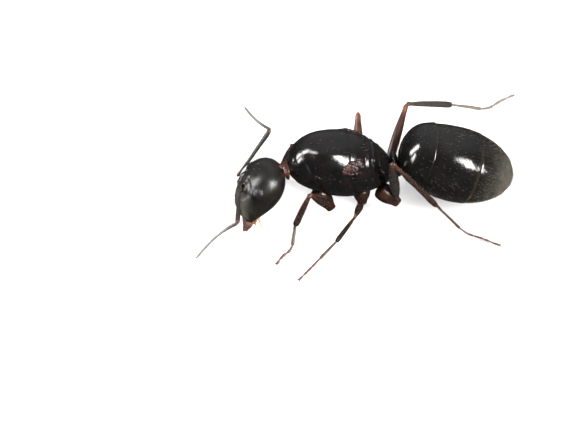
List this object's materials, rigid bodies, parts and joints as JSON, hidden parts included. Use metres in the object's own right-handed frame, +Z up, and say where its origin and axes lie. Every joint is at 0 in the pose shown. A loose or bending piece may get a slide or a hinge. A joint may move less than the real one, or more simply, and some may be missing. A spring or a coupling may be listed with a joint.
{
  "type": "queen ant",
  "caption": "Life-size still model of a black queen ant on her feet, head hanging and turned aside, bent feelers spread, one-scaled waist, egg-shaped gaster and stumps of shed wings.",
  "frame": {"origin": "on the floor, under the middle of the box round the whole model, feelers and feet included", "axes": "+Z up, -X the way the ant faces (the trunk is turned 5.9 degrees off it), -Y the ant's left side"},
  "size_m": [0.0186, 0.0156, 0.0068],
  "materials": {
    "trunk_shell": "glossy black shell",
    "head_shell": "satin black shell, finely netted",
    "gaster_shell": "black shell with fine cross lines and golden-brown rear edges",
    "limb_shell": "dark reddish brown, satin",
    "eye_lens": "black, very glossy, faceted",
    "mouth": "orange-brown, soft"
  },
  "bodies": {
    "root": {"pronotum": "trunk_shell", "mesoscutum": "trunk_shell", "scutellum": "trunk_shell", "mesopleura": "trunk_shell", "propodeum": "trunk_shell", "wing_stump_left": "limb_shell", "wing_stump_right": "limb_shell", "head_capsule": "head_shell", "clypeus": "head_shell", "eye_left": "eye_lens", "eye_right": "eye_lens", "mandible_left": "limb_shell", "mandible_right": "limb_shell", "mouthparts": "mouth", "neck": "limb_shell", "gaster_1": "trunk_shell", "gaster_2": "gaster_shell", "gaster_3": "gaster_shell", "gaster_4": "gaster_shell", "gaster_5": "gaster_shell", "petiole": "trunk_shell", "scape_left": "limb_shell", "funiculus_left": "limb_shell", "scape_right": "limb_shell", "funiculus_right": "limb_shell", "coxa_left_front": "limb_shell", "femur_left_front": "limb_shell", "tibia_left_front": "limb_shell", "tarsus_left_front": "limb_shell", "coxa_left_mid": "limb_shell", "femur_left_mid": "limb_shell", "tibia_left_mid": "limb_shell", "tarsus_left_mid": "limb_shell", "coxa_left_hind": "limb_shell", "femur_left_hind": "limb_shell", "tibia_left_hind": "limb_shell", "tarsus_left_hind": "limb_shell", "coxa_right_front": "limb_shell", "femur_right_front": "limb_shell", "tibia_right_front": "limb_shell", "tarsus_right_front": "limb_shell", "coxa_right_mid": "limb_shell", "femur_right_mid": "limb_shell", "tibia_right_mid": "limb_shell", "tarsus_right_mid": "limb_shell", "coxa_right_hind": "limb_shell", "femur_right_hind": "limb_shell", "tibia_right_hind": "limb_shell", "tarsus_right_hind": "limb_shell"}
  },
  "joints": []
}
